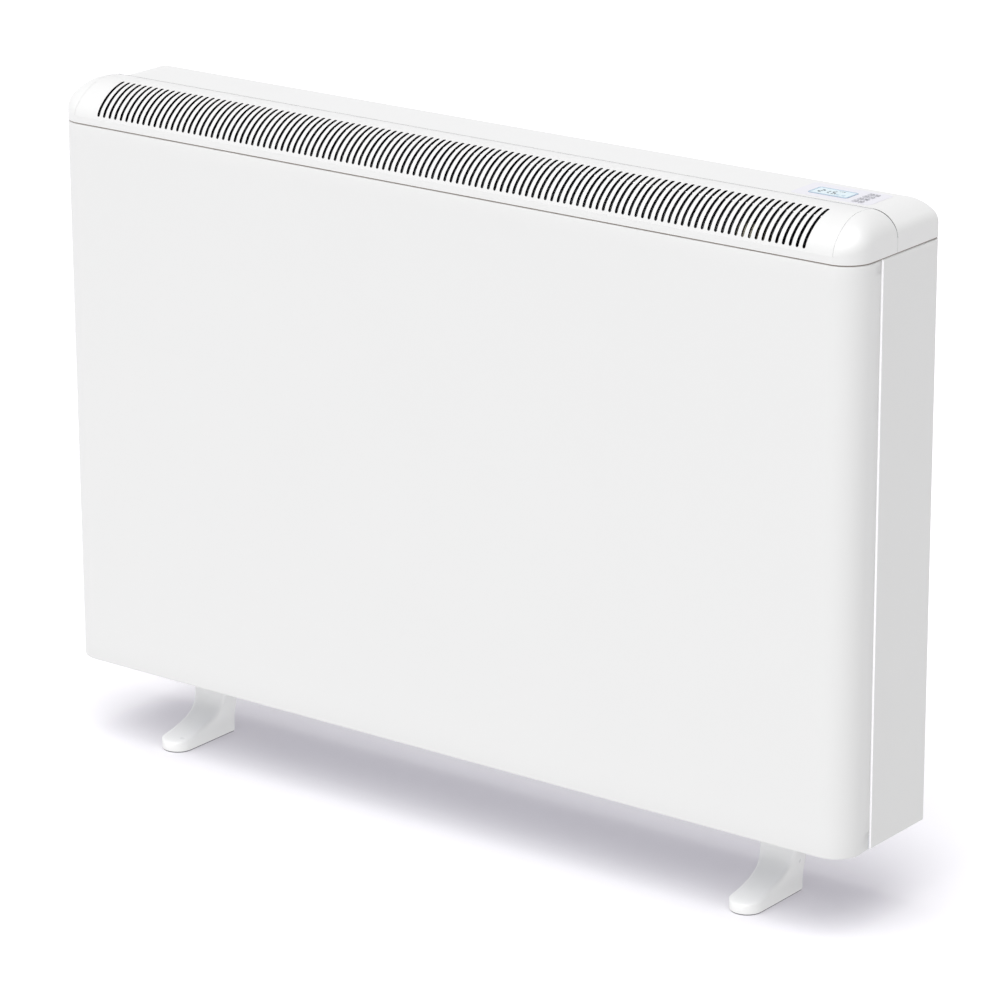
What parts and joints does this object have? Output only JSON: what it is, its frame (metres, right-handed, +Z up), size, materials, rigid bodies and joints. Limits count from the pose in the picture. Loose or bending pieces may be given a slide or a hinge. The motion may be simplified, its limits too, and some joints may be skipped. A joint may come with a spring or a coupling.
{
  "type": "storage heater",
  "caption": "Slim floor-standing combined storage heater with a slotted curved outlet grille, brick core, damper, top controls and boot-shaped feet.",
  "frame": {"origin": "on the floor, under the middle of the heater's width and depth", "axes": "+X to the control end (the right, seen from the front), +Z up; the front faces -Y"},
  "size_m": [1.02, 0.15, 0.74],
  "materials": {
    "casing_white": "satin",
    "cover_white": "satin",
    "galvanised": "satin",
    "insulation": "matte",
    "brick": "matte",
    "element_steel": "satin",
    "aluminium_fin": "satin",
    "bright_steel": "satin",
    "motor_cream": "satin",
    "display_window": "gloss",
    "display_dark": "satin",
    "board_green": "satin",
    "key_grey": "matte",
    "terminal_ivory": "satin",
    "control_black": "matte",
    "reset_red": "satin",
    "wire_sleeve": "matte",
    "foot_white": "satin",
    "pad_rubber": "matte"
  },
  "bodies": {
    "heater": {"front_panel": "casing_white", "left_side_panel": "casing_white", "right_side_panel": "casing_white", "back_panel": "galvanised", "base_tray": "galvanised", "top_cover": "cover_white", "outlet_grille": "cover_white", "inner_front_panel": "galvanised", "inner_left_panel": "galvanised", "inner_right_panel": "galvanised", "inner_top_panel": "galvanised", "insulation_front": "insulation", "insulation_rear": "insulation", "insulation_left": "insulation", "insulation_right": "insulation", "insulation_base": "insulation", "insulation_top": "insulation", "front_bricks_1": "brick", "front_bricks_2": "brick", "front_bricks_3": "brick", "front_bricks_4": "brick", "rear_bricks_1": "brick", "rear_bricks_2": "brick", "rear_bricks_3": "brick", "rear_bricks_4": "brick", "heating_element_1": "element_steel", "heating_element_2": "element_steel", "heating_element_3": "element_steel", "heating_element_4": "element_steel", "boost_element": "aluminium_fin", "boost_brackets": "galvanised", "damper_hinge_rod": "bright_steel", "damper_brackets": "galvanised", "damper_motor": "motor_cream", "display_window": "display_window", "display_module": "display_dark", "control_board": "board_green", "relay_board": "board_green", "terminal_block": "terminal_ivory", "thermal_cutout": "control_black", "core_sensor": "bright_steel", "wiring_loom": "wire_sleeve", "supply_glands": "control_black", "left_foot": "foot_white", "right_foot": "foot_white", "foot_pads": "pad_rubber", "foot_bolts": "bright_steel", "casing_screws": "bright_steel", "board_screws": "bright_steel"},
    "damper": {"damper_flap": "galvanised", "damper_shaft": "bright_steel"},
    "reset_button": {"reset_button": "reset_red"},
    "key_1": {"key_1": "key_grey"},
    "key_2": {"key_2": "key_grey"},
    "key_3": {"key_3": "key_grey"},
    "key_4": {"key_4": "key_grey"},
    "key_5": {"key_5": "key_grey"},
    "key_6": {"key_6": "key_grey"},
    "key_7": {"key_7": "key_grey"},
    "key_8": {"key_8": "key_grey"}
  },
  "joints": [
    {"name": "damper_hinge", "type": "hinge", "parent": "heater", "child": "damper", "pos_m": [0, -0.026, 0.6901], "axis": [-1, 0, 0], "range_deg": [0, 55]},
    {"name": "key_1_press", "type": "slide", "parent": "heater", "child": "key_1", "axis": [0, 0, -1], "range_m": [0, 0.0007], "stiffness_N_per_m": 400, "springref_m": -0.0005},
    {"name": "key_2_press", "type": "slide", "parent": "heater", "child": "key_2", "axis": [0, 0, -1], "range_m": [0, 0.0007], "stiffness_N_per_m": 400, "springref_m": -0.0005},
    {"name": "key_3_press", "type": "slide", "parent": "heater", "child": "key_3", "axis": [0, 0, -1], "range_m": [0, 0.0007], "stiffness_N_per_m": 400, "springref_m": -0.0005},
    {"name": "key_4_press", "type": "slide", "parent": "heater", "child": "key_4", "axis": [0, 0, -1], "range_m": [0, 0.0007], "stiffness_N_per_m": 400, "springref_m": -0.0005},
    {"name": "key_5_press", "type": "slide", "parent": "heater", "child": "key_5", "axis": [0, 0, -1], "range_m": [0, 0.0007], "stiffness_N_per_m": 400, "springref_m": -0.0005},
    {"name": "key_6_press", "type": "slide", "parent": "heater", "child": "key_6", "axis": [0, 0, -1], "range_m": [0, 0.0007], "stiffness_N_per_m": 400, "springref_m": -0.0005},
    {"name": "key_7_press", "type": "slide", "parent": "heater", "child": "key_7", "axis": [0, 0, -1], "range_m": [0, 0.0007], "stiffness_N_per_m": 400, "springref_m": -0.0005},
    {"name": "key_8_press", "type": "slide", "parent": "heater", "child": "key_8", "axis": [0, 0, -1], "range_m": [0, 0.0007], "stiffness_N_per_m": 400, "springref_m": -0.0005},
    {"name": "reset_press", "type": "slide", "parent": "heater", "child": "reset_button", "axis": [-1, 0, 0], "range_m": [0, 0.0015], "stiffness_N_per_m": 400, "springref_m": -0.0008}
  ]
}
